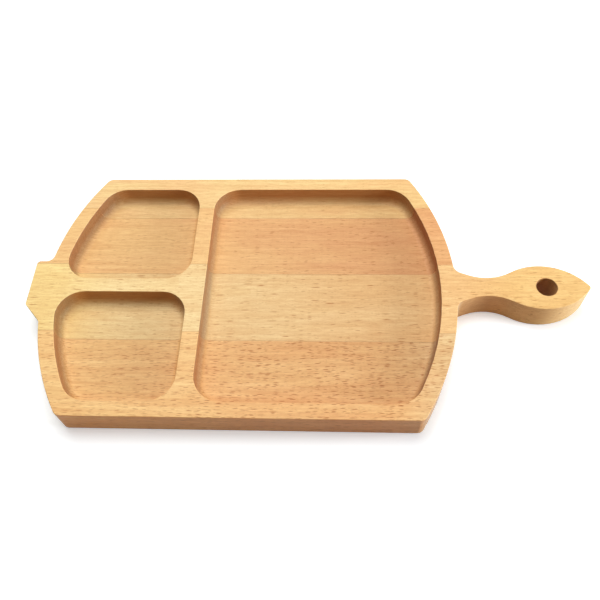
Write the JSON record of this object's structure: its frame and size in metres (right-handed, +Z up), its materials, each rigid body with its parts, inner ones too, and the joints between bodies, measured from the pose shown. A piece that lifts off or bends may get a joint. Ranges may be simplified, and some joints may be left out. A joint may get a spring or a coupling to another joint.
{
  "type": "serving board",
  "caption": "Wooden serving board with routed compartments, a short tab at one end and a fish-tail handle with a hang hole at the other.",
  "frame": {"origin": "middle of the footprint's bounding box, on the flat underside", "axes": "+X along the board towards the handle, +Y across the board towards its back edge, +Z up out of the compartments"},
  "size_m": [0.4358, 0.22, 0.024],
  "materials": {
    "pale_beech": "oiled, satin, pale beech with the grain along X",
    "pink_beech": "oiled, satin, pinkish beech with the grain along X",
    "golden_beech": "oiled, satin, golden beech with the grain along X",
    "flecked_beech": "oiled, satin, flecked beech with the grain along X"
  },
  "bodies": {
    "root": {"back_stave": "pale_beech", "back_middle_stave": "pink_beech", "handle_stave": "golden_beech", "front_stave": "flecked_beech"}
  },
  "joints": []
}
